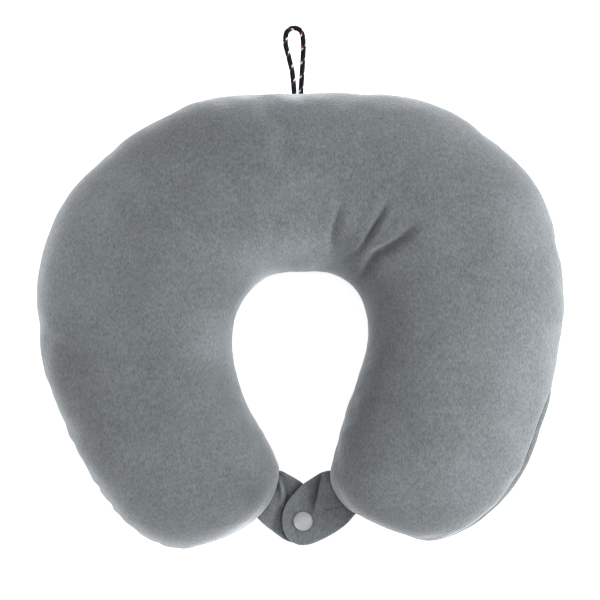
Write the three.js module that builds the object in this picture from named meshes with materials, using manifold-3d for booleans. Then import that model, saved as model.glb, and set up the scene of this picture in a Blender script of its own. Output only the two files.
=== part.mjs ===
// U-shaped travel neck pillow with a zipped plush cover, two snap tabs and a cord hanging loop.
// Units are millimetres. +Z is up, the pillow lies flat on Z = 0 and its back is at +Y.
import * as THREE from 'three';
import Module from 'manifold-3d';

// ---------------------------------------------------------------- driving dimensions
const EQUATOR_Z = 46; // height of the widest line round the cushion
const RISE_ABOVE = 47; // cushion height above the equator
const RISE_BELOW = 50; // unflattened depth below the equator, cut flat where it rests
const SECTION_POWER = 2.4; // superellipse power of the cross-section
const FULL_WIDTH = 118; // rib width at which the cushion reaches its full height
const ARC_STEPS = 10; // facets over each panel, from seam to seam

const COVER_T = 1.6; // plush cover fabric
const LINER_DEPTH = 3; // liner's outer face below the cover's outer face
const LINER_T = 0.6;
const CORE_DEPTH = 4; // foam's outer face below the cover's outer face
const SEAM_GAP = 0.15; // half the gap between two panels at a seam
const SIDE_SEAM_LIFT = 17; // how far the front right seam rides above the equator

const ZIP_CX = 57.6; // centre of the zip's arc
const ZIP_CY = 20;
const COVER_R = 228; // radius of the cover's outline along the zip
const ZIP_DROP = 16; // zip centreline below the equator
const ZIP_R = 226.4; // radius of the cover's surface at that height
const ZIP_TILT = 15; // degrees that surface leans outwards going up
const ZIP_LIP = 4.2; // half the opening between the two cover edges
const ZIP_FROM = 188.5; // degrees round the arc where the opening is at full width
const ZIP_TO = 220;
const CHAIN_FROM = 192;
const CHAIN_TO = 218.5;
const SLIDER_AT = 193.3;
const CORE_DIP = 5; // how far the liner and foam are pressed in behind the zip

const TAB_PLY = 1.5;
const CAP_TAB_Z = 48.2; // underside of the upper tab
const STUD_TAB_Z = 40.5; // underside of the lower tab
const PLY_PITCH = 1.8; // ply thickness plus the gap between the two plies
const SNAP_X = 1.7;
const SNAP_Y = -130.4;
const SNAP_CAP_R = 6.15;
const SNAP_BODY_R = 5.3;
const PIN_R = 1.2;
const PIN_HOLE_R = 1.5;
const STUD_R = 2.5;
const SOCKET_R = 2.9;

const CORD_R = 1.5;

// ---------------------------------------------------------------- cushion outline
const rad = (degrees) => (degrees * Math.PI) / 180;
const arcX = (degrees) => ZIP_CX + COVER_R * Math.cos(rad(degrees));
const arcY = (degrees) => ZIP_CY + COVER_R * Math.sin(rad(degrees));

// Each rib runs from the outer outline to the neck opening: [outer x, outer y, inner x, inner y].
// They go from the left arm's tip, up the arm, round the back and down to the right arm's tip.
const LEFT_TIP = [-58.5, -144.6];
const RIGHT_TIP = [61, -137.3];
const RIBS = [
  [-73.5, -147.6, -43, -137.8],
  [-84.5, -146.2, -30, -129.4],
  [-95, -142.8, -20.5, -119],
  [-105, -138, -14.8, -106],
  [arcX(222), arcY(222), -13.4, -97],
  [arcX(220), arcY(220), -14.8, -92],
  [arcX(216), arcY(216), -18, -83.5],
  [arcX(212), arcY(212), -22.4, -74.5],
  [arcX(208), arcY(208), -27, -66],
  [arcX(204), arcY(204), -31.4, -57.7],
  [arcX(200), arcY(200), -35.2, -49.2],
  [arcX(196), arcY(196), -38.2, -40.5],
  [arcX(192), arcY(192), -40.7, -32],
  [arcX(188.5), arcY(188.5), -42.2, -25],
  [arcX(186), arcY(186), -42.9, -20],
  [-169.9, 13, -43.2, -14],
  [-168, 34, -42.9, -8.5],
  [-162.5, 56, -42.2, -3],
  [-153.3, 76, -40.9, 3],
  [-139, 93.5, -38.6, 9.2],
  [-119.5, 111.8, -35, 16],
  [-97, 127, -29.8, 22],
  [-72, 138.2, -23, 26.5],
  [-46, 144, -15.2, 29.1],
  [-21, 146.6, -7, 30.3],
  [2, 147, 1.6, 30.5],
  [27, 146.6, 10.2, 30.2],
  [52, 145.1, 18.2, 28.9],
  [76, 140.9, 25.6, 25.8],
  [99, 132.2, 31.6, 21.6],
  [120, 118.5, 36, 16.8],
  [138, 102.8, 39.2, 11.6],
  [151.3, 87, 41.2, 5.8],
  [160, 69, 42.5, -0.5],
  [165.3, 49.5, 43.1, -7],
  [168.7, 28, 43, -13],
  [169.8, 6, 42, -19.2],
  [167.8, -16, 40.1, -26.5],
  [163.4, -37.5, 37.6, -34],
  [157.8, -59, 34.6, -42.5],
  [151.2, -80, 31.2, -52.5],
  [143.2, -99, 27.6, -64],
  [132.4, -114.6, 24.2, -76],
  [120, -126.2, 20.6, -89],
  [108, -134.6, 18.9, -101.5],
  [97, -139.6, 22.4, -112.5],
  [87, -142, 31, -122.6],
  [77, -141.9, 44.5, -129.8],
];
const LAST = RIBS.length + 1;

const outline = new THREE.CatmullRomCurve3(
  [
    LEFT_TIP,
    ...RIBS.map((rib) => [rib[0], rib[1]]),
    RIGHT_TIP,
    ...RIBS.map((rib) => [rib[2], rib[3]]).reverse(),
  ].map(([x, y]) => new THREE.Vector3(x, y, 0)),
  true,
  'catmullrom',
  0.5,
);

const outerAt = (s) => outline.getPoint(s / (2 * LAST));
const innerAt = (s) => outline.getPoint((((2 * LAST - s) / (2 * LAST)) % 1));
const clamp01 = (t) => Math.min(1, Math.max(0, t));
const smooth = (t) => clamp01(t) * clamp01(t) * (3 - 2 * clamp01(t));

// Share of the full height reached at rib s: the arms' ends are rounded off.
function heightShare(s) {
  const width = outerAt(s).distanceTo(innerAt(s));
  return 1 - Math.pow(1 - Math.min(1, width / FULL_WIDTH), 1.5);
}

// Angle round the zip's arc of the outline at rib s, in degrees.
function arcAngle(s) {
  const point = outerAt(s);
  return (THREE.MathUtils.radToDeg(Math.atan2(point.y - ZIP_CY, point.x - ZIP_CX)) + 360) % 360;
}

// 1 along the zip, falling to 0 over `fade` degrees past either end of it.
function zipShare(s, fade, before = fade) {
  const angle = arcAngle(s);
  return smooth((angle - ZIP_FROM) / before + 1) * smooth((ZIP_TO - angle) / fade + 1);
}

// Height of the outer seam from the equator: down along the zip, up on the front right.
function seamOffset(s) {
  const point = outerAt(s);
  const frontRight = point.x > 62 ? smooth((10 - point.y) / 80) * smooth((point.x - 62) / 45) : 0;
  return SIDE_SEAM_LIFT * frontRight - ZIP_DROP * zipShare(s, 12, 34);
}

// Section angle of a height measured from the equator, on rib s.
function sectionAngle(s, height) {
  const reach = heightShare(s) * (height >= 0 ? RISE_ABOVE : RISE_BELOW);
  const share = Math.min(1, Math.abs(height) / reach);
  return Math.sign(height) * Math.asin(Math.pow(share, SECTION_POWER / 2));
}

const bulge = (t) => Math.sign(t) * Math.pow(Math.abs(t), 2 / SECTION_POWER);

// Point of the unflattened cushion surface on rib s at section angle phi.
function cushionPoint(s, phi) {
  const outer = outerAt(s);
  const inner = innerAt(s);
  const side = bulge(Math.cos(phi));
  const lift = bulge(Math.sin(phi));
  const reach = heightShare(s) * (lift >= 0 ? RISE_ABOVE : RISE_BELOW);
  const point = outer.clone().add(inner).multiplyScalar(0.5);
  point.addScaledVector(outer.clone().sub(inner), side / 2);
  point.z = EQUATOR_Z + lift * reach;
  return point;
}

function cushionNormal(s, phi) {
  if (s === 0 || s === LAST) {
    const beside = s === 0 ? 1 : LAST - 1;
    const middle = outerAt(beside).add(innerAt(beside)).multiplyScalar(0.5);
    return outerAt(s).sub(middle).setZ(0).normalize();
  }
  const along = cushionPoint(s + 0.03, phi).sub(cushionPoint(s - 0.03, phi));
  const round = cushionPoint(s, phi + 0.03).sub(cushionPoint(s, phi - 0.03));
  return round.cross(along).normalize();
}

// Point `depth` below the surface; inside layers are pressed further in behind the zip.
function layerPoint(s, phi, depth) {
  const skin = cushionPoint(s, phi);
  let inset = depth;
  if (depth > COVER_T && Math.cos(phi) > 0) {
    const away = Math.abs(skin.z - (EQUATOR_Z - ZIP_DROP)) / 19;
    inset += CORE_DIP * zipShare(s, 5) * Math.max(0, 1 - away);
  }
  const point = skin.addScaledVector(cushionNormal(s, phi), -inset);
  point.z = Math.max(point.z, depth);
  return point;
}

// ---------------------------------------------------------------- mesh helpers
function closedGeometry(points, faces) {
  let volume = 0;
  for (const [a, b, c] of faces) {
    volume += points[a].dot(new THREE.Vector3().crossVectors(points[b], points[c]));
  }
  const order = volume < 0 ? faces.map(([a, b, c]) => [a, c, b]) : faces;
  const geometry = new THREE.BufferGeometry();
  const position = new Float32Array(points.flatMap((p) => [p.x, p.y, p.z]));
  geometry.setAttribute('position', new THREE.BufferAttribute(position, 3));
  geometry.setIndex(order.flat());
  return geometry;
}

// One fabric panel: `angles(s)` gives its first and last section angle; both edges move by `edgeShift`.
function panelGeometry(angles, edgeShift, depth, thickness) {
  const points = [];
  const grids = [depth, depth + thickness].map((layer) => {
    const rows = [];
    for (let s = 0; s <= LAST; s += 1) {
      const atTip = s === 0 || s === LAST;
      const [first, last] = atTip ? [0, 0] : angles(s);
      const row = [];
      for (let j = 0; j <= (atTip ? 0 : ARC_STEPS); j += 1) {
        const point = layerPoint(s, first + ((last - first) * j) / ARC_STEPS, layer);
        if (atTip || j === 0 || j === ARC_STEPS) {
          point.z += edgeShift;
        }
        row.push(points.push(point) - 1);
      }
      rows.push(row);
    }
    return rows;
  });
  const faces = [];
  grids.forEach((rows, side) => {
    const add = (a, b, c) => faces.push(side === 0 ? [a, b, c] : [a, c, b]);
    for (let j = 0; j < ARC_STEPS; j += 1) {
      add(rows[0][0], rows[1][j], rows[1][j + 1]);
      add(rows[LAST][0], rows[LAST - 1][j + 1], rows[LAST - 1][j]);
      for (let s = 1; s < LAST - 1; s += 1) {
        add(rows[s][j], rows[s + 1][j], rows[s + 1][j + 1]);
        add(rows[s][j], rows[s + 1][j + 1], rows[s][j + 1]);
      }
    }
  });
  const rim = (rows) => [
    rows[0][0],
    ...rows.slice(1, LAST).map((row) => row[0]),
    rows[LAST][0],
    ...rows.slice(1, LAST).map((row) => row[ARC_STEPS]).reverse(),
  ];
  const [outside, inside] = grids.map(rim);
  outside.forEach((a, i) => {
    const next = (i + 1) % outside.length;
    faces.push([a, inside[next], outside[next]]);
    faces.push([a, inside[i], inside[next]]);
  });
  return closedGeometry(points, faces);
}

// A closed cushion surface `depth` below the cover's outer face.
function coreGeometry(depth) {
  const points = [];
  const rows = [];
  const count = 2 * ARC_STEPS;
  for (let s = 0; s <= LAST; s += 1) {
    const atTip = s === 0 || s === LAST;
    const seam = atTip ? 0 : sectionAngle(s, seamOffset(s));
    const row = [];
    for (let j = 0; j < (atTip ? 1 : count); j += 1) {
      const share = j / ARC_STEPS;
      const phi = share < 1 ? seam + (Math.PI - seam) * share : Math.PI + (Math.PI + seam) * (share - 1);
      row.push(points.push(layerPoint(s, phi, depth)) - 1);
    }
    rows.push(row);
  }
  const faces = [];
  for (let j = 0; j < count; j += 1) {
    const next = (j + 1) % count;
    faces.push([rows[0][0], rows[1][j], rows[1][next]]);
    faces.push([rows[LAST][0], rows[LAST - 1][next], rows[LAST - 1][j]]);
    for (let s = 1; s < LAST - 1; s += 1) {
      faces.push([rows[s][j], rows[s + 1][j], rows[s + 1][next]]);
      faces.push([rows[s][j], rows[s + 1][next], rows[s][next]]);
    }
  }
  return closedGeometry(points, faces);
}

// Sweeps a closed ring of points: `ringAt(i)` gives the ring at step i.
function sweptGeometry(steps, ringAt) {
  const points = [];
  const faces = [];
  const rings = [];
  for (let i = 0; i <= steps; i += 1) {
    rings.push(ringAt(i).map((point) => points.push(point) - 1));
  }
  const count = rings[0].length;
  for (let j = 0; j < count; j += 1) {
    const next = (j + 1) % count;
    for (let i = 0; i < steps; i += 1) {
      faces.push([rings[i][j], rings[i + 1][j], rings[i + 1][next]]);
      faces.push([rings[i][j], rings[i + 1][next], rings[i][next]]);
    }
  }
  for (let j = 1; j < count - 1; j += 1) {
    faces.push([rings[0][0], rings[0][j], rings[0][j + 1]]);
    faces.push([rings[steps][0], rings[steps][j + 1], rings[steps][j]]);
  }
  return closedGeometry(points, faces);
}

// Point of the zip's frame: depth below the cover's surface, rise up along it, angle round the arc.
function zipPoint(depth, rise, degrees) {
  const tilt = rad(ZIP_TILT);
  const radius = ZIP_R - depth * Math.cos(tilt) + rise * Math.sin(tilt);
  const height = EQUATOR_Z - ZIP_DROP + depth * Math.sin(tilt) + rise * Math.cos(tilt);
  const angle = rad(degrees);
  return new THREE.Vector3(ZIP_CX + radius * Math.cos(angle), ZIP_CY + radius * Math.sin(angle), height);
}

const arcDegrees = (length) => THREE.MathUtils.radToDeg(length / ZIP_R);

// A bar of the given [depth, rise] profile, bent round the zip's arc.
function zipBar(profile, from, to, steps) {
  return sweptGeometry(steps, (i) => {
    const degrees = from + ((to - from) * i) / steps;
    return profile.map(([depth, rise]) => zipPoint(depth, rise, degrees));
  });
}

const block = (depth0, depth1, rise0, rise1) => [
  [depth0, rise0],
  [depth1, rise0],
  [depth1, rise1],
  [depth0, rise1],
];

// A block of the slider or pull: `along0` and `along1` are millimetres from the slider's centre.
function zipBlock(depths, rises, along0, along1) {
  const profile = block(depths[0], depths[1], rises[0], rises[1]);
  return zipBar(profile, SLIDER_AT + arcDegrees(along0), SLIDER_AT + arcDegrees(along1), 1);
}

// ---------------------------------------------------------------- joining and cutting
const wasm = await Module();
wasm.setup();

function toSolid(geometry) {
  const source = geometry.index ? geometry.toNonIndexed() : geometry;
  const position = source.getAttribute('position');
  const seen = new Map();
  const vertices = [];
  const triangles = [];
  for (let i = 0; i < position.count; i += 1) {
    const xyz = [position.getX(i), position.getY(i), position.getZ(i)];
    const key = xyz.map((value) => Math.round(value * 1e4)).join();
    if (!seen.has(key)) {
      seen.set(key, vertices.length / 3);
      vertices.push(...xyz);
    }
    triangles.push(seen.get(key));
  }
  const faces = [];
  for (let i = 0; i < triangles.length; i += 3) {
    const [a, b, c] = triangles.slice(i, i + 3);
    if (a !== b && b !== c && c !== a) {
      faces.push(a, b, c);
    }
  }
  return new wasm.Manifold(
    new wasm.Mesh({
      numProp: 3,
      vertProperties: new Float32Array(vertices),
      triVerts: new Uint32Array(faces),
    }),
  );
}

function toGeometry(solid) {
  const mesh = solid.getMesh();
  const geometry = new THREE.BufferGeometry();
  geometry.setAttribute('position', new THREE.BufferAttribute(new Float32Array(mesh.vertProperties), 3));
  geometry.setIndex(Array.from(mesh.triVerts));
  return geometry;
}

const join = (...geometries) => toGeometry(geometries.map(toSolid).reduce((all, one) => all.add(one)));
const cut = (geometry, tool) => toGeometry(toSolid(geometry).subtract(toSolid(tool)));

// ---------------------------------------------------------------- object and nodes
const part = new THREE.Group();
part.name = 'u_shaped_neck_pillow';

function addPiece(name, geometry, color, roughness, metalness = 0) {
  const flat = geometry.index ? geometry.toNonIndexed() : geometry;
  flat.computeVertexNormals();
  const mesh = new THREE.Mesh(flat, new THREE.MeshStandardMaterial({ color, roughness, metalness }));
  mesh.name = name;
  part.add(mesh);
}

const PLUSH = 0x7d8488;
const ZIP_GREY = 0x5f6569;
const SNAP_GREY = 0xb8bbbe;
const METAL = 0x9aa0a4;

// Cover, liner and foam.
const zipLip = (s) => (ZIP_LIP - SEAM_GAP) * zipShare(s, 2.2) + SEAM_GAP;
const coverTop = (s) => [sectionAngle(s, seamOffset(s) + zipLip(s)), Math.PI];
const coverBottom = (s) => [Math.PI, 2 * Math.PI + sectionAngle(s, seamOffset(s) - zipLip(s))];
const linerTop = (s) => [sectionAngle(s, seamOffset(s)), Math.PI];
const linerBottom = (s) => [Math.PI, 2 * Math.PI + sectionAngle(s, seamOffset(s))];
addPiece('cover_top_panel', panelGeometry(coverTop, SEAM_GAP, 0, COVER_T), PLUSH, 0.95);
addPiece('cover_bottom_panel', panelGeometry(coverBottom, -SEAM_GAP, 0, COVER_T), PLUSH, 0.95);
addPiece('liner_top_panel', panelGeometry(linerTop, SEAM_GAP, LINER_DEPTH, LINER_T), 0xe6e4de, 0.9);
addPiece('liner_bottom_panel', panelGeometry(linerBottom, -SEAM_GAP, LINER_DEPTH, LINER_T), 0xe6e4de, 0.9);
addPiece('foam_core', coreGeometry(CORE_DEPTH), 0xe9dfbd, 0.9);

// Zip: two tapes, two nylon coils, stops, slider and pull.
const TAPE_FROM = CHAIN_FROM - 4.5;
const TAPE_TO = CHAIN_TO + 2.5;
const coilProfile = (side) => [
  [1.5, side * 1.2],
  [1.5, side * 2.1],
  [1.9, side * 2.5],
  [2.8, side * 2.5],
  [2.8, side * 0.8],
  [1.9, side * 0.8],
];
for (const [word, side] of [['upper', 1], ['lower', -1]]) {
  const tape = zipBar(block(3.1, 3.6, side * 0.8, side * 6), TAPE_FROM, TAPE_TO, 12);
  addPiece(`zip_tape_${word}`, tape, ZIP_GREY, 0.9);
  addPiece(`zip_coil_${word}`, zipBar(coilProfile(side), CHAIN_FROM, CHAIN_TO, 18), ZIP_GREY, 0.5);
  const stop = zipBar(block(1.6, 2.8, side * 0.8, side * 2.6), CHAIN_FROM - 0.6, CHAIN_FROM - 0.1, 1);
  addPiece(`zip_top_stop_${word}`, stop, METAL, 0.4, 0.8);
}
const bottomStop = zipBar(block(1.6, 2.8, -2.8, 2.8), CHAIN_TO + 0.1, CHAIN_TO + 0.7, 1);
addPiece('zip_bottom_stop', bottomStop, METAL, 0.4, 0.8);

const sliderBody = join(
  zipBlock([0.3, 1.2], [-3.5, 3.5], -4.2, 4.2),
  zipBlock([1.1, 2.6], [2.8, 3.5], -4.2, 4.2),
  zipBlock([1.1, 2.6], [-3.5, -2.8], -4.2, 4.2),
  zipBlock([1.1, 4], [-0.5, 0.5], 2.4, 4.2),
  zipBlock([3.9, 4.7], [-3.5, 3.5], -4.2, 4.2),
  zipBlock([-1.6, 0.4], [-0.6, 0.6], -2.7, -1.9),
  zipBlock([-1.6, 0.4], [-0.6, 0.6], 1.9, 2.7),
  zipBlock([-1.6, -0.8], [-0.6, 0.6], -2.7, 2.7),
);
addPiece('zip_slider', sliderBody, METAL, 0.35, 0.9);

const pull = join(
  zipBlock([-0.55, 0.05], [-2.2, 2.2], -0.3, 0.3),
  zipBlock([-0.55, 0.05], [1.4, 2.2], -4.4, 0.3),
  zipBlock([-0.55, 0.05], [-2.2, -1.4], -4.4, 0.3),
  zipBlock([-0.55, 0.05], [-2.6, 2.6], -15, -4.2),
);
addPiece('zip_pull', pull, METAL, 0.35, 0.9);

// Closing tabs: two plies each, cut to a rounded tongue and pierced for the snap.
const CAP_TAB_OUTLINE = [
  [17.6, -98.9], [10.3, -101.4], [1.8, -106.6], [-3.8, -112.6], [-9.2, -120], [-11.6, -128],
  [-10.8, -136], [-7, -142.6], [0.3, -146.2], [8, -145.3], [17, -141.1], [26, -135.9], [32.8, -128.6],
  [26, -121.2], [18.4, -111],
];
const STUD_TAB_OUTLINE = [
  [-11.6, -99.2], [-3.1, -103.6], [4.4, -109.2], [10.6, -116.4], [14, -124.5], [13.8, -132.5],
  [9.6, -139.6], [3, -144.2], [-4, -145.9], [-12, -142.7], [-20, -136.6], [-26.8, -130],
  [-20.6, -122.4], [-15.6, -114.5],
];

// The last two points of each outline make the straight-sided root against the cushion.
function tabPly(points, bottom) {
  const edge = new THREE.SplineCurve(points.slice(0, -2).map(([x, y]) => new THREE.Vector2(x, y)));
  const root = points.slice(-2).map(([x, y]) => new THREE.Vector2(x, y));
  const shape = new THREE.Shape([...edge.getPoints(24), ...root]);
  const geometry = new THREE.ExtrudeGeometry(shape, { depth: TAB_PLY, bevelEnabled: false });
  const drill = new THREE.CylinderGeometry(PIN_HOLE_R, PIN_HOLE_R, 4 * TAB_PLY, 20).rotateX(Math.PI / 2);
  drill.translate(SNAP_X, SNAP_Y, TAB_PLY / 2);
  return cut(geometry, drill).translate(0, 0, bottom);
}

addPiece('cap_tab_top_ply', tabPly(CAP_TAB_OUTLINE, CAP_TAB_Z + PLY_PITCH), PLUSH, 0.95);
addPiece('cap_tab_bottom_ply', tabPly(CAP_TAB_OUTLINE, CAP_TAB_Z), PLUSH, 0.95);
addPiece('stud_tab_top_ply', tabPly(STUD_TAB_OUTLINE, STUD_TAB_Z + PLY_PITCH), PLUSH, 0.95);
addPiece('stud_tab_bottom_ply', tabPly(STUD_TAB_OUTLINE, STUD_TAB_Z), PLUSH, 0.95);

// Plastic snap: each profile is [radius, height], turned about the snap's upright axis.
function turned(profile) {
  const geometry = new THREE.LatheGeometry(profile.map(([r, z]) => new THREE.Vector2(r, z)), 28);
  return geometry.rotateX(Math.PI / 2).translate(SNAP_X, SNAP_Y, 0);
}
const capTop = CAP_TAB_Z + PLY_PITCH + TAB_PLY + 0.3;
const backCapBottom = STUD_TAB_Z - 0.3;
const dome = (seat, way, pinEnd) => [
  [0, pinEnd],
  [PIN_R, pinEnd],
  [PIN_R, seat],
  [SNAP_CAP_R - 0.3, seat],
  [SNAP_CAP_R, seat + way * 0.4],
  [SNAP_CAP_R - 0.4, seat + way * 1.1],
  [4.2, seat + way * 1.6],
  [2.1, seat + way * 1.85],
  [0, seat + way * 1.9],
];
const capDisc = turned(dome(capTop, 1, 47.1));
const backDisc = turned(dome(backCapBottom, -1, 45.3).reverse());
addPiece('snap_cap', toGeometry(toSolid(capDisc)), SNAP_GREY, 0.4);
addPiece('snap_back_cap', toGeometry(toSolid(backDisc)), SNAP_GREY, 0.4);

const socketProfile = [
  [PIN_HOLE_R, 47.9],
  [PIN_HOLE_R, 46.9],
  [SOCKET_R, 46.9],
  [SOCKET_R, 45],
  [4.1, 45],
  [4.5, 45.4],
  [4.5, 46.9],
  [SNAP_BODY_R, 47.1],
  [SNAP_BODY_R, 47.9],
  [PIN_HOLE_R, 47.9],
];
addPiece('snap_socket', toGeometry(toSolid(turned(socketProfile))), SNAP_GREY, 0.4);

const studProfile = [
  [PIN_HOLE_R, 44.1],
  [SNAP_BODY_R, 44.1],
  [SNAP_BODY_R, 44.7],
  [STUD_R - 0.1, 44.7],
  [STUD_R, 46.1],
  [STUD_R - 0.4, 46.6],
  [0, 46.6],
  [0, 45.7],
  [PIN_HOLE_R, 45.7],
  [PIN_HOLE_R, 44.1],
];
addPiece('snap_stud', toGeometry(toSolid(turned(studProfile))), SNAP_GREY, 0.4);

// Hanging loop: a teardrop of round cord standing out from the back seam.
const LOOP_LINE = [
  [-4.1, 148.1], [-5.4, 160], [-7.8, 170.3], [-9.7, 178.5], [-8.8, 186], [-4.1, 188.5],
  [0.6, 186], [1.9, 178.5], [1.7, 170], [1, 158], [0.3, 148.1],
];
const loopCurve = new THREE.CatmullRomCurve3(
  LOOP_LINE.map(([x, y]) => new THREE.Vector3(x, y, EQUATOR_Z)),
  false,
  'catmullrom',
  0.5,
);
const LOOP_STEPS = 34;
const loopTube = sweptGeometry(LOOP_STEPS, (i) => {
  const centre = loopCurve.getPoint(i / LOOP_STEPS);
  const tangent = loopCurve.getTangent(i / LOOP_STEPS);
  const beside = new THREE.Vector3(-tangent.y, tangent.x, 0).normalize();
  return Array.from({ length: 10 }, (_, j) => {
    const turn = (2 * Math.PI * j) / 10;
    const point = centre.clone().addScaledVector(beside, CORD_R * Math.cos(turn));
    point.z += CORD_R * Math.sin(turn);
    return point;
  });
});
addPiece('hanging_loop', loopTube, 0x24262d, 0.8);

export default part;
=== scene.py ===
"""U-shaped plush neck pillow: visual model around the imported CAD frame. Metres, +Z up, +Y to the back."""
import math
from contextlib import contextmanager

import bmesh
import bpy
import numpy as np
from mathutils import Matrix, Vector, noise


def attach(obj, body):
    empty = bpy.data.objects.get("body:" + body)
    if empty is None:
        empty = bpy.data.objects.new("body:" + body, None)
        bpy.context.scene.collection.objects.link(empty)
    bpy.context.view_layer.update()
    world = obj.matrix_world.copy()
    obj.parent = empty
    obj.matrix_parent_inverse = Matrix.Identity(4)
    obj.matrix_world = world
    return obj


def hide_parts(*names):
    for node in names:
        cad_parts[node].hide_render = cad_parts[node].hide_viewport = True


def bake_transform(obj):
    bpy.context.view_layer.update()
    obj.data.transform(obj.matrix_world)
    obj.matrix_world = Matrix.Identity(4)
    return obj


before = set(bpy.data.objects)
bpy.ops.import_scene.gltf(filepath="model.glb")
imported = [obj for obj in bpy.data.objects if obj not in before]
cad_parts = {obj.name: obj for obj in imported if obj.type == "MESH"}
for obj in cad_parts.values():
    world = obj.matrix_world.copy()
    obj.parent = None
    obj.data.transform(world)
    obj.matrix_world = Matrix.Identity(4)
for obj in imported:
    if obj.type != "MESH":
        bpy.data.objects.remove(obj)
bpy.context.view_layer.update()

MM = 0.001
WELD = 1e-6  # points nearer than this are one, m
FLAT_ANGLE = math.radians(3)  # faces this close to level are one

# ---------- dimensions repeated from part.mjs, in mm
EQUATOR_Z = 46.0
RISE_ABOVE = 47.0
RISE_BELOW = 50.0
SECTION_POWER = 2.4
FULL_WIDTH = 118.0
SIDE_SEAM_LIFT = 17.0
ZIP_CX, ZIP_CY, COVER_R = 57.6, 20.0, 228.0
ZIP_DROP, ZIP_R, ZIP_TILT, ZIP_LIP = 16.0, 226.4, math.radians(15.0), 4.2
ZIP_FROM, ZIP_TO, CHAIN_FROM, CHAIN_TO = 188.5, 220.0, 192.0, 218.5
SNAP = (1.7, -130.4)
CAP_TAB_MID, STUD_TAB_MID = 49.85, 42.15
SEAM_GAP = 0.15
TIP_SPREAD = 0.2  # how far each panel's tips stand above or below the seam's end, mm
ZIP_FADE, ZIP_FADE_BACK = 12, 34  # degrees over which the seam drops to the zip, in front and behind
LIP_FADE, DIP_FADE = 2.2, 5

# Each rib runs from the outer outline to the neck opening, from the left arm's tip round to the right one's.
LEFT_TIP, RIGHT_TIP = (-58.5, -144.6), (61.0, -137.3)


def on_arc(degrees):
    return (
        ZIP_CX + COVER_R * math.cos(math.radians(degrees)),
        ZIP_CY + COVER_R * math.sin(math.radians(degrees)),
    )


RIBS = [
    (-73.5, -147.6, -43, -137.8),
    (-84.5, -146.2, -30, -129.4),
    (-95, -142.8, -20.5, -119),
    (-105, -138, -14.8, -106),
    (*on_arc(222), -13.4, -97),
    (*on_arc(220), -14.8, -92),
    (*on_arc(216), -18, -83.5),
    (*on_arc(212), -22.4, -74.5),
    (*on_arc(208), -27, -66),
    (*on_arc(204), -31.4, -57.7),
    (*on_arc(200), -35.2, -49.2),
    (*on_arc(196), -38.2, -40.5),
    (*on_arc(192), -40.7, -32),
    (*on_arc(188.5), -42.2, -25),
    (*on_arc(186), -42.9, -20),
    (-169.9, 13, -43.2, -14),
    (-168, 34, -42.9, -8.5),
    (-162.5, 56, -42.2, -3),
    (-153.3, 76, -40.9, 3),
    (-139, 93.5, -38.6, 9.2),
    (-119.5, 111.8, -35, 16),
    (-97, 127, -29.8, 22),
    (-72, 138.2, -23, 26.5),
    (-46, 144, -15.2, 29.1),
    (-21, 146.6, -7, 30.3),
    (2, 147, 1.6, 30.5),
    (27, 146.6, 10.2, 30.2),
    (52, 145.1, 18.2, 28.9),
    (76, 140.9, 25.6, 25.8),
    (99, 132.2, 31.6, 21.6),
    (120, 118.5, 36, 16.8),
    (138, 102.8, 39.2, 11.6),
    (151.3, 87, 41.2, 5.8),
    (160, 69, 42.5, -0.5),
    (165.3, 49.5, 43.1, -7),
    (168.7, 28, 43, -13),
    (169.8, 6, 42, -19.2),
    (167.8, -16, 40.1, -26.5),
    (163.4, -37.5, 37.6, -34),
    (157.8, -59, 34.6, -42.5),
    (151.2, -80, 31.2, -52.5),
    (143.2, -99, 27.6, -64),
    (132.4, -114.6, 24.2, -76),
    (120, -126.2, 20.6, -89),
    (108, -134.6, 18.9, -101.5),
    (97, -139.6, 22.4, -112.5),
    (87, -142, 31, -122.6),
    (77, -141.9, 44.5, -129.8),
]
LAST = len(RIBS) + 1
OUTLINE = np.array(
    [LEFT_TIP]
    + [r[:2] for r in RIBS]
    + [RIGHT_TIP]
    + [r[2:] for r in reversed(RIBS)]
)


def unit(vectors):
    """The same directions with length 1."""
    return vectors / np.maximum(np.linalg.norm(vectors, axis=-1, keepdims=True), 1e-9)


def smooth(t):
    t = np.clip(t, 0.0, 1.0)
    return t * t * (3 - 2 * t)


def catmull_rom(p0, p1, p2, p3, t):
    """A Catmull-Rom curve's point a share `t` of the way from p1 to p2."""
    return 0.5 * (
        2 * p1
        + (p2 - p0) * t
        + (2 * p0 - 5 * p1 + 4 * p2 - p3) * t**2
        + (3 * p1 - 3 * p2 + p3 - p0) * t**3
    )


def closed_curve(corners, s):
    """Closed Catmull-Rom curve through `corners`; s is in points."""
    i = np.floor(s).astype(int)
    t = (s - i)[..., None]
    return catmull_rom(*(corners[(i + k) % len(corners)] for k in (-1, 0, 1, 2)), t)


def outer_at(s):
    return closed_curve(OUTLINE, np.asarray(s, float))


def inner_at(s):
    return outer_at(2 * LAST - np.asarray(s, float))


def height_share(s):
    """How much of its full height the cushion has at s: less where it is narrow."""
    width = np.linalg.norm(outer_at(s) - inner_at(s), axis=-1)
    return 1 - np.maximum(0, 1 - width / FULL_WIDTH) ** 1.5


def arc_angle(s):
    """Where s lies round the zip's arc, in degrees."""
    p = outer_at(s)
    return np.degrees(np.arctan2(p[..., 1] - ZIP_CY, p[..., 0] - ZIP_CX)) % 360


def zip_share(s, fade, before=None):
    """1 beside the zip, falling to 0 over `fade` degrees in front of it and `before` behind it."""
    a = arc_angle(s)
    return smooth((a - ZIP_FROM) / (before or fade) + 1) * smooth((ZIP_TO - a) / fade + 1)


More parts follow.
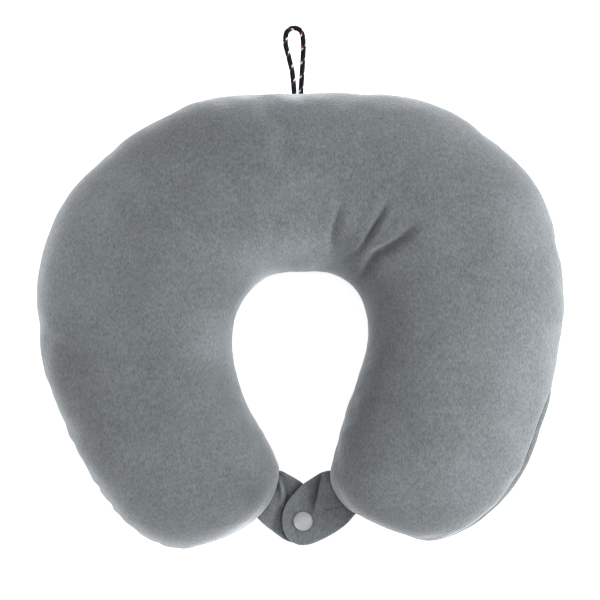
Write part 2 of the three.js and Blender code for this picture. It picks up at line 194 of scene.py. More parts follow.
def seam_offset(s):
    """How far the outer seam sits above the widest level, mm."""
    p = outer_at(s)
    front_right = smooth((10 - p[..., 1]) / 80) * smooth((p[..., 0] - 62) / 45)
    front_right = np.where(p[..., 0] > 62, front_right, 0)
    return SIDE_SEAM_LIFT * front_right - ZIP_DROP * zip_share(s, ZIP_FADE, ZIP_FADE_BACK)


def section_angle(s, height):
    """The section's angle at a height above or below the widest level."""
    reach = height_share(s) * np.where(height >= 0, RISE_ABOVE, RISE_BELOW)
    share = np.minimum(1, np.abs(height) / np.maximum(reach, 1e-6))
    return np.sign(height) * np.arcsin(share ** (SECTION_POWER / 2))


def bulge(t):
    return np.sign(t) * np.abs(t) ** (2 / SECTION_POWER)


def cushion_point(s, phi):
    """The cushion's surface at rib position s and section angle phi: 0 outside, pi in the neck opening."""
    outer, inner = outer_at(s), inner_at(s)
    side = bulge(np.cos(phi))[..., None]
    lift = bulge(np.sin(phi))
    reach = height_share(s) * np.where(lift >= 0, RISE_ABOVE, RISE_BELOW)
    flat = (outer + inner) / 2 + (outer - inner) / 2 * side
    return np.concatenate([flat, (EQUATOR_Z + lift * reach)[..., None]], -1)


def ring_stations(step):
    """Rib positions whose widest side moves about `step` mm from one ring to the next."""
    s = np.linspace(0, LAST, 6000)
    outer, inner = outer_at(s), inner_at(s)
    gone = np.maximum(
        np.linalg.norm(np.diff(outer, axis=0), axis=1),
        np.linalg.norm(np.diff(inner, axis=0), axis=1),
    )
    walked = np.concatenate([[0], np.cumsum(gone)])
    count = int(walked[-1] / step)
    return np.interp(np.linspace(0, walked[-1], count + 1), walked, s)


def grid_normals(grid):
    """Outward unit normals of an (S, J, 3) grid of points."""
    along = np.gradient(grid, axis=0)
    around = np.gradient(grid, axis=1)
    return unit(np.cross(around, along))


def upsample(grid, times, axis):
    """Catmull-Rom refinement of a grid of points along one axis."""
    g = np.moveaxis(grid, axis, 0)
    first, last = 2 * g[0] - g[1], 2 * g[-1] - g[-2]
    g = np.concatenate([first[None], g, last[None]])
    rows = [catmull_rom(g[:-3], g[1:-2], g[2:-1], g[3:], k / times) for k in range(times)]
    fine = np.stack(rows, 1).reshape(-1, *g.shape[1:])
    fine = np.concatenate([fine, g[-2][None]])
    return np.moveaxis(fine, 0, axis)


def add_object(name, data):
    obj = bpy.data.objects.new(name, data)
    bpy.context.scene.collection.objects.link(obj)
    return obj


def new_object(name, points_mm, faces, smooth_shade=True):
    mesh = bpy.data.meshes.new(name)
    mesh.from_pydata([tuple(p) for p in np.asarray(points_mm) * MM], [], faces)
    mesh.update()
    mesh.polygons.foreach_set("use_smooth", [smooth_shade] * len(mesh.polygons))
    return add_object(name, mesh)


@contextmanager
def editing(obj):
    """Lends an object's mesh as a bmesh and writes it back."""
    bm = bmesh.new()
    bm.from_mesh(obj.data)
    yield bm
    bm.to_mesh(obj.data)
    bm.free()


def clean_mesh(obj):
    """Drops loose points and makes the faces point outwards."""
    with editing(obj) as bm:
        bmesh.ops.delete(bm, geom=[v for v in bm.verts if not v.link_faces], context="VERTS")
        bmesh.ops.recalc_face_normals(bm, faces=bm.faces)


def tube_faces(rings, sides, base=0):
    """Side faces and two end caps of a tube of `rings` rings of `sides` points."""
    faces = []
    for i in range(rings - 1):
        for m in range(sides):
            a, b = base + i * sides + m, base + i * sides + (m + 1) % sides
            faces.append((a, b, b + sides, a + sides))
    for start in (base, base + (rings - 1) * sides):
        faces.append(tuple(range(start, start + sides)))
    return faces


def stands_for(obj, body, node):
    """Puts a piece on its body in the place of one CAD node."""
    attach(obj, body)
    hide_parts(node)
    return obj


def panel_faces(rings, steps, offset=0):
    """Faces of a panel of rings between two single tip points, which are its last two vertices."""
    width = steps + 1
    tip_a, tip_b = offset + rings * width, offset + rings * width + 1
    faces = []
    for i in range(rings - 1):
        for j in range(steps):
            a = offset + i * width + j
            faces.append((a, a + 1, a + width + 1, a + width))
    for j in range(steps):
        a = offset + j
        faces.append((tip_a, a + 1, a))
        b = offset + (rings - 1) * width + j
        faces.append((tip_b, b, b + 1))
    return faces


def skin_grid(stations, steps, top):
    """Points of the upper or lower panel, (rings, steps + 1, 3), without the two tips."""
    s = stations[1:-1]
    lip = (ZIP_LIP - SEAM_GAP) * zip_share(s, LIP_FADE) + SEAM_GAP
    if top:
        first, last = section_angle(s, seam_offset(s) + lip), np.full(len(s), math.pi)
    else:
        first = np.full(len(s), math.pi)
        last = 2 * math.pi + section_angle(s, seam_offset(s) - lip)
    share = np.linspace(0, 1, steps + 1)
    phi = first[:, None] + (last - first)[:, None] * share[None, :]
    ss = np.repeat(s[:, None], steps + 1, axis=1)
    return cushion_point(ss, phi)


# ---------- cover: cloth blown up between its seams
SIM_STEP = 4.4  # mm between rings of the simulated cloth
SIM_ROWS = 34  # facets over each panel
START_INSET = 5.0  # how far inside the final surface the cloth starts, mm
SEAM_INSET = 1.2  # how far the seams are pulled in, mm
SIM_CAP = 8.0  # how far a point of the cloth may move, mm
SIM_FRAMES = 20
FINER = 3  # how many times finer the finished panels are than the cloth
KEPT_FOLDS, KEPT_SWELL = 0.55, 0.12  # shares of the cloth's folds and of its broad swelling that are kept
ZIP_DIP, ZIP_DIP_REACH = 5.0, 19  # how much deeper the inner layers lie behind the zip, and how far up
LINER_DEPTH, FOAM_DEPTH = 3.0, 4.2  # mm under the cover


def flatten_floor(points, floor=0.0, soft=3.0):
    """Rests the cushion: heights below `soft` mm are eased towards the floor."""
    z = points[..., 2]
    eased = floor + soft * np.exp((z - floor - soft) / soft)
    points[..., 2] = np.where(z < floor + soft, np.maximum(eased, floor), z)
    return points


def simulate(stations, grids, tips):
    """Blows the two panels up from inside with their seams held, and returns their moved points."""
    rings = len(stations) - 2
    points = np.concatenate([np.concatenate([g.reshape(-1, 3), tips]) for g in grids])
    per_panel = rings * (SIM_ROWS + 1) + 2
    faces = panel_faces(rings, SIM_ROWS) + panel_faces(rings, SIM_ROWS, per_panel)
    obj = new_object("cloth_sim", points, faces)
    pinned = []
    for base in (0, per_panel):
        for i in range(rings):
            pinned += [base + i * (SIM_ROWS + 1), base + i * (SIM_ROWS + 1) + SIM_ROWS]
        pinned += [base + per_panel - 2, base + per_panel - 1]
    group = obj.vertex_groups.new(name="seams")
    group.add(pinned, 1.0, "REPLACE")
    mod = obj.modifiers.new("Cloth", "CLOTH")
    cloth = mod.settings
    cloth.quality = 6
    cloth.mass = 0.25
    cloth.tension_stiffness = 12
    cloth.compression_stiffness = 6
    cloth.shear_stiffness = 4
    cloth.bending_stiffness = 0.4
    cloth.use_pressure = True
    cloth.uniform_pressure_force = 4.0
    cloth.shrink_min = -0.05
    cloth.effector_weights.gravity = 0
    cloth.vertex_group_mass = "seams"
    mod.collision_settings.use_collision = False
    scene = bpy.context.scene
    for f in range(1, SIM_FRAMES + 1):
        scene.frame_set(f)
    depsgraph = bpy.context.evaluated_depsgraph_get()
    moved_mesh = obj.evaluated_get(depsgraph).to_mesh()
    moved = np.zeros(len(points) * 3, np.float32)
    moved_mesh.vertices.foreach_get("co", moved)
    moved = moved.reshape(-1, 3) / MM
    step = moved - points
    far = np.linalg.norm(step, axis=1, keepdims=True)
    moved = points + step * np.minimum(1, SIM_CAP / np.maximum(far, 1e-6))
    bpy.data.objects.remove(obj)
    scene.frame_set(1)
    parts = [moved[k * per_panel : (k + 1) * per_panel - 2] for k in range(2)]
    return [part.reshape(rings, SIM_ROWS + 1, 3) for part in parts]


stations = ring_stations(SIM_STEP)
tips = np.array([[*LEFT_TIP, EQUATOR_Z], [*RIGHT_TIP, EQUATOR_Z]])
skins = [skin_grid(stations, SIM_ROWS, top) for top in (True, False)]
normals = [grid_normals(g) for g in skins]
rows = np.linspace(0, 1, SIM_ROWS + 1)
inset = SEAM_INSET + (START_INSET - SEAM_INSET) * smooth(np.minimum(rows, 1 - rows) * 6)
starts = [g - n * inset[None, :, None] for g, n in zip(skins, normals)]
puffed = simulate(stations, starts, tips)


def blurred(field, times):
    """Smooths a grid of vectors, keeping its borders."""
    for _ in range(times):
        for axis in (0, 1):
            f = np.moveaxis(field, axis, 0)
            inner = (f[:-2] + 2 * f[1:-1] + f[2:]) / 4
            field = np.moveaxis(np.concatenate([f[:1], inner, f[-1:]]), 0, axis)
    return field


def line_distance(points, line):
    """Signed distance in plan from a polyline (positive on its right) and how far along it, 0 to 1."""
    line = np.asarray(line, float)
    lengths = np.linalg.norm(np.diff(line, axis=0), axis=1)
    best = np.full(points.shape[:-1], 1e9)
    signed = np.zeros_like(best)
    along = np.zeros_like(best)
    done = 0.0
    for a, b, length in zip(line[:-1], line[1:], lengths):
        d = (b - a) / length
        rel = points[..., :2] - a
        t = np.clip(rel @ d, 0, length)
        off = rel - t[..., None] * d
        dist = np.linalg.norm(off, axis=-1)
        side = np.where(rel[..., 0] * d[1] - rel[..., 1] * d[0] >= 0, 1.0, -1.0)
        near = dist < best
        best = np.where(near, dist, best)
        signed = np.where(near, dist * side, signed)
        along = np.where(near, (done + t) / lengths.sum(), along)
        done += length
    return signed, along


def crease(points, line, depth, steep, gentle, roll=0.25):
    """Height of a crease: a valley with a steep side on the line's right and a gentle one on its left."""
    d, t = line_distance(points, line)
    taper = np.sin(np.pi * np.clip(t, 0.03, 0.97)) ** 0.8
    width = np.where(d > 0, steep, gentle)
    valley = -depth * np.exp(-((d / width) ** 2))
    crown = roll * depth * np.exp(-(((d - 2.6 * steep) / (1.6 * steep)) ** 2))
    crown += 0.4 * roll * depth * np.exp(-(((d + 2.0 * gentle) / gentle) ** 2))
    return (valley + crown) * taper


def crease_painted_shade(points, line, dark, right_width, left_width):
    """Painted shade inside a crease: how much darker the pile is drawn there."""
    d, t = line_distance(points, line)
    taper = np.sin(np.pi * np.clip(t, 0.03, 0.97)) ** 0.7
    width = np.where(d > 0, right_width, left_width)
    return -dark * taper * np.exp(-((d / width) ** 2))


def set_shade(obj, shade):
    """Stores the pile's tone at each vertex, around 1: its own mottle together with painted light and
    painted shade.
    """
    layer = obj.data.attributes.new("shade", "FLOAT", "POINT")
    layer.data.foreach_set("value", np.asarray(shade, np.float32))


# Creases at the neck opening's back right corner and the few faint ones elsewhere:
# (line, depth, width of the steep side, width of the gentle side).
# Each crease's depth and widths also set the painted shade drawn inside it.
CREASES = [
    ([(55.5, 75.5), (52.5, 69), (45, 56.5), (38.9, 46.4), (35.5, 41)], 3.5, 2.2, 2.2),
    (
        [(77, 61), (70, 57.3), (63.5, 51.5), (52, 44), (46.5, 41.2), (43.5, 36), (40, 29), (37.5, 24)],
        4.3, 2.8, 4.6,
    ),
    ([(27, 75), (23.8, 68), (21.5, 60), (19.8, 51), (19.2, 42)], 2.1, 2.2, 2.9),
    ([(38.5, 43.5), (33, 41.5), (27.4, 38.5), (25, 36)], 0.9, 1.8, 1.8),
    ([(-14, 68), (-16.5, 57), (-18, 46)], 0.8, 2.8, 3.2),
    ([(-62, 6.5), (-53, 7), (-44, 6)], 0.8, 1.6, 2.2),
]
# Soft rises and hollows, up (+) or down: (centre, height, radius).
BUMPS = [
    ((12, 82), 1.2, 5.0),
    ((8, 44), 1.0, 10.0),
    ((30, 58), 1.1, 6.0),
    ((39, 50), 0.8, 3.5),
    ((62, 36), -0.8, 16.0),
]
# Patches of painted light (+) and painted shade (-) on the pile, standing in for how light falls on its rims
# and slopes; a few also stand for pile brushed lighter and darker: (centre, change, radius).
PAINTED_LIGHT_PATCHES = [
    ((-10, 52), 0.22, 27),
    ((-36, 40), 0.16, 18),
    ((2, 37), 0.58, 16),
    ((12, 47), 0.16, 11),
    ((-24, 28), 0.5, 15),
    ((5, 92), 0.07, 20),
    ((40, 44), -0.1, 15),
    ((56, 20), -0.07, 28),
    ((62, 78), -0.08, 26),
    ((156, -25), 0.42, 44),
    ((125, -95), 0.34, 44),
    ((153, 55), 0.2, 34),
    ((80, -120), 0.1, 30),
    ((-160, 25), 0.42, 34),
    ((-134, 92), 0.5, 30),
    ((-150, 58), 0.16, 24),
    ((22, 34), 0.3, 9),
    ((-14, 38), 0.2, 14),
    ((-51, -8), 0.3, 22),
    ((-28, -112), -0.24, 13),
    ((-95, -120), 0.2, 38),
    ((-120, 20), -0.04, 40),
    ((50, -54), -0.1, 22),
]
# Where the side sits out (+) or in (-) a little, all the way down: (place, shift, radius).
LEANS = [
    ((-152, 72), -2.0, 42.0),
    ((-118, 116), -0.8, 30.0),
    ((-20, 148), -2.2, 18.0),
    ((-90, 131), -1.0, 16.0),
    ((165, -46), 1.7, 16.0),
    ((-164, -38), 1.3, 14.0),
    ((126, 113), -0.8, 22.0),
    ((34, 147), -0.7, 30.0),
    ((-43, -60), -1.0, 30.0),
    ((-2, 31), 1.2, 16.0),
    ((-33, 20), 1.5, 15.0),
]

GATHER_CENTRE = (-60.0, -70.0)  # the tucks run towards this place
# Where the eased seam is gathered along the front left edge: outline points and depth, mm.
GATHERS = [
    ((-161.5, -43), 0.4),
    ((-158.7, -54.4), 0.7),
    ((-153.5, -67.5), 0.5),
    ((-146.6, -81.6), 0.8),
    ((-142.0, -91.3), 0.7),
    ((-130.7, -107.0), 2.0),
    ((-122.0, -119.8), 0.9),
    ((-117.2, -126.0), 0.8),
    ((-107.5, -136.0), 0.5),
    ((-91.6, -144.6), 0.7),
    ((-79.0, -147.0), 0.4),
]


def gather_height(points):
    """Short tucks that run in from the front left seam."""
    height = np.zeros(points.shape[:-1])
    above = np.maximum(points[..., 2] - EQUATOR_Z, 0)
    below = np.maximum(EQUATOR_Z - ZIP_DROP - points[..., 2], 0)
    for k, ((x, y), depth) in enumerate(GATHERS):
        inward = unit(np.array([GATHER_CENTRE[0] - x, GATHER_CENTRE[1] - y]))
        rel = points[..., :2] - np.array([x, y])
        deep = np.maximum(rel @ inward, 0)
        reach = 7.0 + 9.0 * (k * 0.618 % 1)  # how far up the tuck runs, mm: each one differs
        slant = (0.5 - k * 0.382 % 1) * 0.3
        across = rel[..., 0] * inward[1] - rel[..., 1] * inward[0]
        across = across + slant * (above - below)
        width = 1.7 + 0.14 * deep + 0.09 * (above + below)
        fade = np.exp(-deep / 6.5 - (above / reach) ** 2 - (below / (0.7 * reach)) ** 2)
        height -= depth * fade * np.exp(-((across / width) ** 2))
        height += 0.3 * depth * fade * np.exp(-(((np.abs(across) - 5.0) / 3.2) ** 2))
    return height


def spot(points, centre, radius):
    """1 at a place in plan, falling off softly over `radius` mm round it."""
    far = (points[..., 0] - centre[0]) ** 2 + (points[..., 1] - centre[1]) ** 2
    return np.exp(-far / radius**2)


def cloth_noise(points, scale, seed):
    """Smooth noise at each point, about -1 to 1, for features `scale` mm long."""
    flat = points.reshape(-1, 3) / scale + seed
    return np.array([noise.noise(p) for p in flat]).reshape(points.shape[:-1])


def finished_grid(skin, cloth, top):
    """The panel's final points: the CAD skin, the cloth's own folds and the creases that show."""
    moved = cloth - skin
    broad = blurred(moved, 14)
    folds = blurred(moved, 1) - broad
    grid = skin + KEPT_FOLDS * folds + KEPT_SWELL * broad
    grid = upsample(upsample(grid, FINER, 0), FINER, 1)
    normal = grid_normals(grid)
    height = 0.9 * cloth_noise(grid, 60.0, 3.0) + 0.22 * cloth_noise(grid, 14.0, 9.0)
    if top:
        for line, depth, steep, gentle in CREASES:
            height += crease(grid, line, depth, steep, gentle)
        for centre, lift, radius in BUMPS:
            height += lift * spot(grid, centre, radius)
    low = np.clip((grid[..., 2] - 12) / 20, 0, 1)
    height += gather_height(grid) * low
    share = np.linspace(0, 1, grid.shape[1])
    edge = np.minimum(share, 1 - share) * SIM_ROWS * SIM_STEP
    height *= smooth(edge / 9.0 + 0.25)
    height -= 1.3 * np.exp(-((edge / 3.2) ** 2))
    for centre, shift, radius in LEANS:
        height += shift * spot(grid, centre, radius)
    return grid + normal * height[..., None]


def turned_in(grid):
    """Adds the seam allowance: each long edge rolls over and runs in behind the panel."""
    normal = grid_normals(grid)
    columns = [grid]
    for edge, beside in ((0, 1), (-1, -2)):
        along = unit(grid[:, edge] - grid[:, beside])
        lip = grid[:, edge] - 0.9 * normal[:, edge] + 0.1 * along
        deep = grid[:, edge] - 4.0 * normal[:, edge] - 0.2 * along
        if edge == 0:
            columns = [deep[:, None], lip[:, None], *columns]
        else:
            columns = [*columns, lip[:, None], deep[:, None]]
    return np.concatenate(columns, axis=1)


def cover_piece(name, grid, top):
    rings, cols = grid.shape[0], grid.shape[1]
    ends = tips + np.array([0, 1.0, TIP_SPREAD if top else -TIP_SPREAD])
    points = np.concatenate([grid.reshape(-1, 3), ends])
    points = flatten_floor(points)
    obj = new_object(name, points, panel_faces(rings, cols - 1))
    # Pile tone: its own random mottle; on the upper panel, painted shade in the creases and patches of
    # painted light and shade.
    shade = 1 + 0.05 * cloth_noise(points, 34.0, 21.0) + 0.03 * cloth_noise(points, 9.0, 5.0)
    if top:
        for line, depth, steep, gentle in CREASES:
            shade += crease_painted_shade(points, line, 0.1 * depth, 0.5 * steep, 0.8 * gentle)
        for centre, change, radius in PAINTED_LIGHT_PATCHES:
            shade += change * spot(points, centre, radius)
    set_shade(obj, shade)
    return obj


finals = [finished_grid(skin, cloth, top) for skin, cloth, top in zip(skins, puffed, (True, False))]
top_panel = cover_piece("pillow_top_panel", turned_in(finals[0]), True)
bottom_panel = cover_piece("pillow_bottom_panel", turned_in(finals[1]), False)
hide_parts("cover_top_panel")
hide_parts("cover_bottom_panel")


def inner_grid(grid, depth):
    """A layer under the cover, pressed further in behind the zip."""
    coarse = grid[::FINER, ::FINER]
    s = stations[1:-1]
    dip = ZIP_DIP * zip_share(s, DIP_FADE)[:, None]
    away = np.abs(coarse[..., 2] - (EQUATOR_Z - ZIP_DROP)) / ZIP_DIP_REACH
    outside = np.linspace(0, 1, coarse.shape[1])[None, :] < 0.4
    # The zip's side comes first in the upper panel's columns and last in the lower one's.
    if coarse[:, 0, 2].mean() > coarse[:, coarse.shape[1] // 2, 2].mean():
        outside = ~outside
    inset = depth + dip * np.maximum(0, 1 - away) * outside
    return coarse - blurred(grid_normals(coarse), 2) * inset[..., None]


def layer_piece(name, grids, depth, closed):
    """The liner's panels, or the foam as one closed tube, under the finished cover."""
    parts = [inner_grid(g, depth) for g in grids]
    if closed:
        grid = np.concatenate([parts[0], parts[1][:, 1:]], axis=1)
    else:
        grid = parts[0]
    rings, cols = grid.shape[:2]
    ends = tips + np.array([[0, depth, 0], [0, depth, 0]])
    points = np.concatenate([grid.reshape(-1, 3), ends])
    points[:, 2] = np.maximum(points[:, 2], depth)
    return new_object(name, points, panel_faces(rings, cols - 1))


liner_top = layer_piece("liner_upper", finals[:1], LINER_DEPTH, False)
liner_bottom = layer_piece("liner_lower", finals[1:], LINER_DEPTH, False)
foam = layer_piece("foam_filling", finals, FOAM_DEPTH, True)
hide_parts("liner_top_panel")
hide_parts("liner_bottom_panel")
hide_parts("foam_core")
for piece, slot_name in (
    (top_panel, "plush_cover"),
    (bottom_panel, "plush_cover"),
    (liner_top, "liner_cloth"),
    (liner_bottom, "liner_cloth"),
    (foam, "foam"),
):
    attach(piece, "pillow")


# ---------- closing tabs
CAP_ROOT = ((19.1, -98.1), (35.0, -127.1))
STUD_ROOT = ((-13.1, -98.1), (-28.5, -128.2))
CAP_TAB_EDGE = [
    (25, -99.2), (19.1, -98.1), (14.8, -98.9), (10.3, -101.2), (5.8, -103.9), (1.8, -106.6),
    (-3.8, -112.4), (-7.5, -117), (-9.8, -121), (-11.3, -125.7), (-11.7, -130.4), (-10.9, -136.2),
    (-8.5, -141.2), (-4.6, -144.6), (0.3, -146.3), (7.3, -145.4), (14.8, -142.2), (22.2, -138.2),
    (29.7, -132.9), (35, -127.1), (40, -121), (35, -109),
]
STUD_TAB_EDGE = [
    (-19, -99.8), (-13.1, -98.1), (-7.5, -100.8), (-3.1, -103.4), (1.2, -106.4), (7.3, -112.2),
    (12, -119), (14.6, -126), (13.9, -133.4), (10, -139.6), (4.4, -143.6), (-1.6, -145.6),
    (-7, -144.8), (-12, -142.4), (-18.7, -137.3), (-23.9, -133), (-28.5, -128.2), (-34, -121.5),
    (-27, -108),
]
TAB_HALF = 1.62  # half the thickness of its two plies, mm
# Painted light: the tabs' pile is drawn lighter than the cover's to make up for the arms' shade on them.
TAB_PAINTED_LIGHT = 1.16
TAB_CENTRE = (0.0, -125.0)
SNAP_FLAT = 7.2  # radius pressed flat round the snap, mm
# From its rim to near its middle, the rings a tab is made of.
TAB_RINGS = [
    1, 0.992, 0.98, 0.96, 0.935, 0.9, 0.86, 0.81, 0.76, 0.7,
    0.64, 0.57, 0.5, 0.43, 0.36, 0.29, 0.21, 0.13, 0.06,
]
PLEAT = [(15.0, -96.5), (13.3, -103.6), (11.1, -114.1), (7.6, -125)]
RIDGE = [(-13.8, -103), (-12.6, -108.1), (-11.6, -113.3), (-12.2, -121)]
SMALL_FOLD = [(29.5, -119.5), (24, -121.6), (19, -122.4), (14, -123.5)]


def path_lengths(points):
    """How far along a path each of its points lies."""
    return np.concatenate([[0], np.cumsum(np.linalg.norm(np.diff(points, axis=0), axis=1))])


def resampled(points, walked, at):
    return np.stack([np.interp(at, walked, points[:, k]) for k in (0, 1)], -1)


def closed_spline(corners, count):
    """Points evenly spaced along a closed Catmull-Rom curve."""
    n = len(corners)
    q = closed_curve(np.array(corners, float), np.linspace(0, n, n * 24, endpoint=False))
    q = np.concatenate([q, q[:1]])
    walked = path_lengths(q)
    at = np.linspace(0, walked[-1], count, endpoint=False)
    return resampled(q, walked, at)


def edge_distance(points, ring):
    """How far each point lies from a closed outline, in plan."""
    best = np.full(len(points), 1e9)
    for a, b in zip(ring, np.roll(ring, -1, axis=0)):
        d = b - a
        t = np.clip(((points - a) @ d) / (d @ d), 0, 1)
        best = np.minimum(best, np.linalg.norm(points - a - t[:, None] * d, axis=1))
    return best


def root_distance(points, root):
    """How far points lie from a tab's root towards the snap, and that direction, in plan."""
    a, b = (np.array(p) for p in root)
    d = unit(b - a)
    n = np.array([d[1], -d[0]])
    if (np.array(TAB_CENTRE) - a) @ n < 0:
        n = -n
    return (points - a) @ n, n


def cap_tab_height(p):
    """Middle height of the upper tab: it climbs to the snap and is pleated towards it."""
    out, _ = root_distance(p, CAP_ROOT)
    z = EQUATOR_Z + (CAP_TAB_MID - EQUATOR_Z) * smooth(out / 22)
    d, t = line_distance(p, PLEAT)
    taper = smooth(t * 8) * smooth((1 - t) * 3)
    west = 1 / (1 + np.exp(np.clip(-d / 0.25, -40, 40)))
    dip = -3.4 * np.exp(-np.maximum(d, 0) / 5.0) * west
    lift = 1.7 * np.exp(np.minimum(d, 0) / 7.5) * (1 - west)
    z = z + (dip + lift) * taper
    z = z + crease(p, SMALL_FOLD, 1.0, 0.7, 1.5)
    z = z + crease(p, [(24, -131.5), (16, -133), (9.5, -131)], 0.6, 1.3, 2.4)
    near_snap = spot(p, SNAP, SNAP_FLAT)
    return z * (1 - near_snap) + CAP_TAB_MID * near_snap


def stud_tab_height(p):
    """Middle height of the lower tab: it drops under the upper one, with a pinched ridge by the arm."""
    out, _ = root_distance(p, STUD_ROOT)
    z = EQUATOR_Z + 0.8 - (EQUATOR_Z + 0.8 - STUD_TAB_MID) * smooth((out - 2) / 17)
    d, t = line_distance(p, RIDGE)
    taper = smooth(t * 4) * smooth((1 - t) * 3)
    z = z + 2.8 * taper * np.exp(-((d / 1.5) ** 2)) - 1.4 * taper * np.exp(-(((d + 3.4) / 2.0) ** 2))
    z = z + 2.0 * spot(p, (-18.6, -121.6), 2.6)
    z = z + crease(p, [(-24, -124.5), (-19.5, -124.6), (-15, -127)], 1.2, 0.9, 1.4)
    near_snap = spot(p, SNAP, SNAP_FLAT)
    return z * (1 - near_snap) + STUD_TAB_MID * near_snap


def tab_tone_and_painted_light(points, ring, root):
    """Pile tone of a tab: its own mottle, with painted shade in its pleat, under the arm, under the upper
    tab's edge and round the snap, and painted light on its edge, ridge and lit facets.
    """
    plan = points[:, :2]
    shade = TAB_PAINTED_LIGHT + 0.05 * cloth_noise(points, 9.0, 2.0)
    out = root_distance(plan, root)[0]
    # Painted shade where the tab runs in under the arm.
    shade -= 0.35 * np.exp(-((np.maximum(out, 0) / 4.0) ** 2))
    # Painted highlight along the tab's rim.
    shade += 0.28 * np.exp(-((edge_distance(plan, ring) / 1.4) ** 2))
    if root is CAP_ROOT:
        # Painted shade in the pleat and the small fold.
        shade += crease_painted_shade(points, PLEAT, 0.95, 3.2, 0.5)
        shade += crease_painted_shade(points, SMALL_FOLD, 0.35, 1.0, 0.8)
        # Painted highlight on the lit facet beside the pleat, and painted light on the tab's middle, away
        # from the arm's shade.
        shade += 0.3 * spot(plan, (17.0, -108.5), 4.5)
        shade += 0.22 * np.exp(-(((out - 13) / 8) ** 2))
    else:
        # Painted shadow cast by the upper tab's edge.
        from_upper = edge_distance(plan, closed_spline(CAP_TAB_EDGE, 150))
        shade -= 0.5 * np.exp(-((from_upper / 2.6) ** 2))
        # Painted highlight on the ridge, painted shade just beside it.
        d, _ = line_distance(points, RIDGE)
        shade += 0.3 * np.exp(-((d / 1.3) ** 2)) - 0.3 * np.exp(-(((d + 2.8) / 1.4) ** 2))
    # Painted shade in a ring round the snap cap.
    far = np.sqrt(((plan - np.array(SNAP)) ** 2).sum(-1))
    shade -= 0.2 * np.exp(-(((far - 6.4) / 1.0) ** 2))
    return np.clip(shade, 0.25, 1.6)


def make_tab(name, corners, height_at, root):
    """A two-ply tongue of plush with rolled edges, stitched into the arm's seam."""
    ring = closed_spline(corners, 150)
    centre = ring.mean(0)
    flat = np.concatenate([centre + (ring - centre) * f for f in TAB_RINGS] + [centre[None]])
    edge = edge_distance(flat, ring)
    z = height_at(flat)
    half = TAB_HALF * np.sqrt(1 - (1 - np.clip(edge / 1.9, 0, 1)) ** 2)
    half *= 1 - 0.10 * np.exp(-(((edge - 4.2) / 0.7) ** 2))
    top = np.column_stack([flat, z + half])
    bottom = np.column_stack([flat, z - half])
    n, rings = len(ring), len(TAB_RINGS)
    bottom_at = np.arange(len(flat)) + len(flat)
    bottom_at[:n] = np.arange(n)
    faces = []
    for k in range(rings - 1):
        for j in range(n):
            a, b = k * n + j, k * n + (j + 1) % n
            faces.append((a, a + n, b + n, b))
            faces.append(tuple(int(bottom_at[v]) for v in (a, b, b + n, a + n)))
    hub = rings * n
    for j in range(n):
        a, b = (rings - 1) * n + j, (rings - 1) * n + (j + 1) % n
        faces.append((a, hub, b))
        faces.append((int(bottom_at[a]), int(bottom_at[b]), int(bottom_at[hub])))
    obj = new_object(name, np.concatenate([top, bottom]), faces)
    clean_mesh(obj)
    points = np.zeros(len(obj.data.vertices) * 3)
    obj.data.vertices.foreach_get("co", points)
    set_shade(obj, tab_tone_and_painted_light(points.reshape(-1, 3) / MM, ring, root))
    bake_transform(obj)
    return obj


cap_tab = make_tab("closing_tab_upper", CAP_TAB_EDGE, cap_tab_height, CAP_ROOT)
stud_tab = make_tab("closing_tab_lower", STUD_TAB_EDGE, stud_tab_height, STUD_ROOT)
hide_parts("cap_tab_top_ply", "cap_tab_bottom_ply")
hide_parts("stud_tab_top_ply", "stud_tab_bottom_ply")


# ---------- snap
def turned(name, profile, body, node, segments=72):
    """A closed body of revolution about the snap's axis; profile is [(radius, height)] in mm."""
    points, faces = [], []
    for r, z in profile:
        for k in range(segments):
            a = 2 * math.pi * k / segments
            points.append((SNAP[0] + r * math.cos(a), SNAP[1] + r * math.sin(a), z))
    rings = len(profile)
    for i in range(rings):
        j = (i + 1) % rings
        for k in range(segments):
            m = (k + 1) % segments
            faces.append((i * segments + k, i * segments + m, j * segments + m, j * segments + k))
    obj = new_object(name, points, faces)
    with editing(obj) as bm:
        bmesh.ops.remove_doubles(bm, verts=bm.verts, dist=WELD)
        bmesh.ops.recalc_face_normals(bm, faces=bm.faces)
    obj.data.polygons.foreach_set("use_smooth", [True] * len(obj.data.polygons))
    return stands_for(obj, body, node)


def dome_profile(seat, way, pin_end):
    """Half section of a domed cap that opens `way` (1 up, -1 down) from its seat, with its pin."""
    rim = [
        (6.15 - 0.45 + 0.45 * math.sin(a), seat + way * (0.5 - 0.5 * math.cos(a)))
        for a in np.linspace(0.2, math.pi * 0.62, 9)
    ]
    crown = [(r, seat + way * (0.82 + 2.0 * (1 - (r / 6.0) ** 2.2))) for r in np.linspace(5.6, 0.001, 12)]
    pin = [(0.001, pin_end), (1.1, pin_end), (1.2, pin_end + 0.3 * way), (1.2, seat)]
    return [*pin, (5.5, seat), *rim, *crown]


